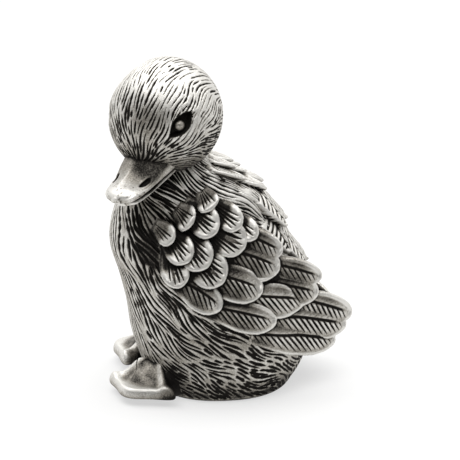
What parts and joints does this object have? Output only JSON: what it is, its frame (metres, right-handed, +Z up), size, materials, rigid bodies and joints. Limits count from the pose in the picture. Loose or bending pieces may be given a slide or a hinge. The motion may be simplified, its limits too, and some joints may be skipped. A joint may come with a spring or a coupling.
{
  "type": "duckling figurine",
  "caption": "Small antiqued pewter duckling that stands upright with its head turned aside, folded wings with layered feathers, webbed feet and a flat closing plate to rest on.",
  "frame": {"origin": "middle of the standing face, on the closing plate's underside", "axes": "+Z up, the duckling's breast faces -Y and its left side is +X"},
  "size_m": [0.0287, 0.0365, 0.0497],
  "materials": {
    "cast_pewter": "cast, blackened and rubbed back to bright ridges",
    "burnished_pewter": "smooth cast pewter, lightly burnished over a dark patina",
    "plate_pewter": "flat sheet pewter, dull"
  },
  "bodies": {
    "root": {"body": "cast_pewter", "head": "cast_pewter", "left_wing": "cast_pewter", "right_wing": "cast_pewter", "tail": "cast_pewter", "upper_bill": "burnished_pewter", "lower_bill": "burnished_pewter", "left_eye": "burnished_pewter", "right_eye": "burnished_pewter", "left_foot": "burnished_pewter", "right_foot": "burnished_pewter", "base_plate": "plate_pewter"}
  },
  "joints": []
}
